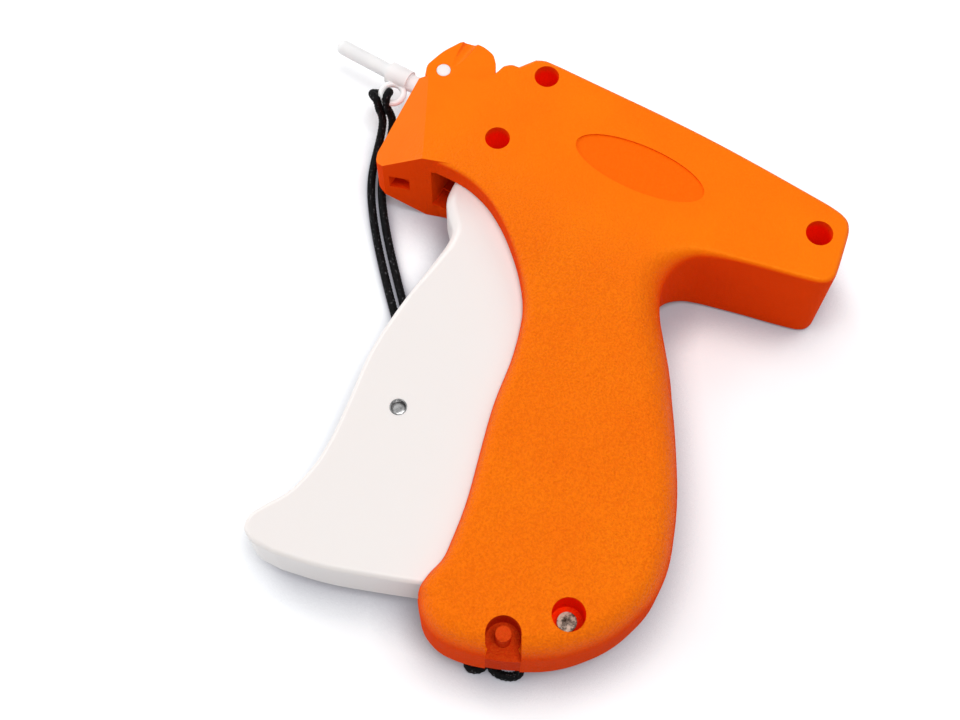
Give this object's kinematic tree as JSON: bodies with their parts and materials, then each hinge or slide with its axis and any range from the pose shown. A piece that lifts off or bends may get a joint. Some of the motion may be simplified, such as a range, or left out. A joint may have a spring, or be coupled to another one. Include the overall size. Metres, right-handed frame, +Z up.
{
  "type": "garment tag attacher",
  "caption": "Hand-held garment tag attacher with a squeeze trigger, capped needle, clip feed and a cord lanyard.",
  "frame": {"origin": "on the resting side face, under the axis that the trigger turns on", "axes": "+Z up through the width, +X from the needle to the rear along the barrel, +Y from the grip's foot to the barrel's top"},
  "size_m": [0.1444, 0.1426, 0.029],
  "materials": {
    "orange_casing": "fine spark texture",
    "white_trigger": "satin",
    "white_tip": "satin, slightly translucent",
    "inner_plastic": "smooth",
    "steel": "bright",
    "black_cord": "braided"
  },
  "bodies": {
    "casing": {"left_casing": "orange_casing", "right_casing": "orange_casing", "lever_pivot_pin": "steel", "return_spring": "steel", "needle": "steel", "needle_hub": "white_tip", "feed_wheel_axle": "steel", "pawl_pin": "steel", "knife_blade": "steel", "case_screws": "steel", "lanyard_cord": "black_cord"},
    "trigger": {"trigger": "white_trigger", "trigger_cross_pin": "steel", "drive_pin": "steel"},
    "drive_lever": {"drive_lever": "inner_plastic"},
    "slide": {"slide": "inner_plastic", "slide_pin": "steel", "push_rod": "steel"},
    "lock_lever": {"needle_lock_lever": "orange_casing"},
    "feed_wheel": {"feed_wheel": "inner_plastic"},
    "feed_pawl": {"feed_pawl": "inner_plastic"},
    "needle_cap": {"needle_cap": "white_tip", "lanyard_hitch": "black_cord"}
  },
  "joints": [
    {"name": "trigger_squeeze", "type": "hinge", "parent": "casing", "child": "trigger", "pos_m": [0, 0, 0.0145], "axis": [0, 0, 1], "range_deg": [0, 10], "stiffness_Nm_per_rad": 0.8, "springref_deg": -11.46},
    {"name": "drive_lever_swing", "type": "hinge", "parent": "casing", "child": "drive_lever", "pos_m": [0.048, -0.048, 0.0145], "axis": [0, 0, 1], "range_deg": [0, 33.01], "deforming": ["return_spring"]},
    {"name": "slide_stroke", "type": "slide", "parent": "casing", "child": "slide", "axis": [1, 0, 0], "range_m": [-0.03541, 0]},
    {"name": "lock_lever_swing", "type": "hinge", "parent": "casing", "child": "lock_lever", "pos_m": [-0.0249, 0.0143, 0.0145], "axis": [0, 0, 1], "range_deg": [0, 65]},
    {"name": "feed_wheel_turn", "type": "hinge", "parent": "casing", "child": "feed_wheel", "pos_m": [-0.0016, 0.0121, 0.018], "axis": [0, 0, 1], "continuous": true},
    {"name": "pawl_swing", "type": "hinge", "parent": "casing", "child": "feed_pawl", "pos_m": [0.0109, 0.0186, 0.018], "axis": [0, 0, 1], "range_deg": [-8, 0], "stiffness_Nm_per_rad": 0.004, "springref_deg": 5.73},
    {"name": "cap_pull", "type": "slide", "parent": "casing", "child": "needle_cap", "axis": [-1, 0, 0], "range_m": [0, 0.02], "deforming": ["lanyard_cord"]}
  ],
  "couplings": [
    {"joint": "drive_lever_swing", "follows": "trigger_squeeze", "ratio": 3.3},
    {"joint": "slide_stroke", "follows": "trigger_squeeze", "m_per_rad": -0.20229}
  ]
}
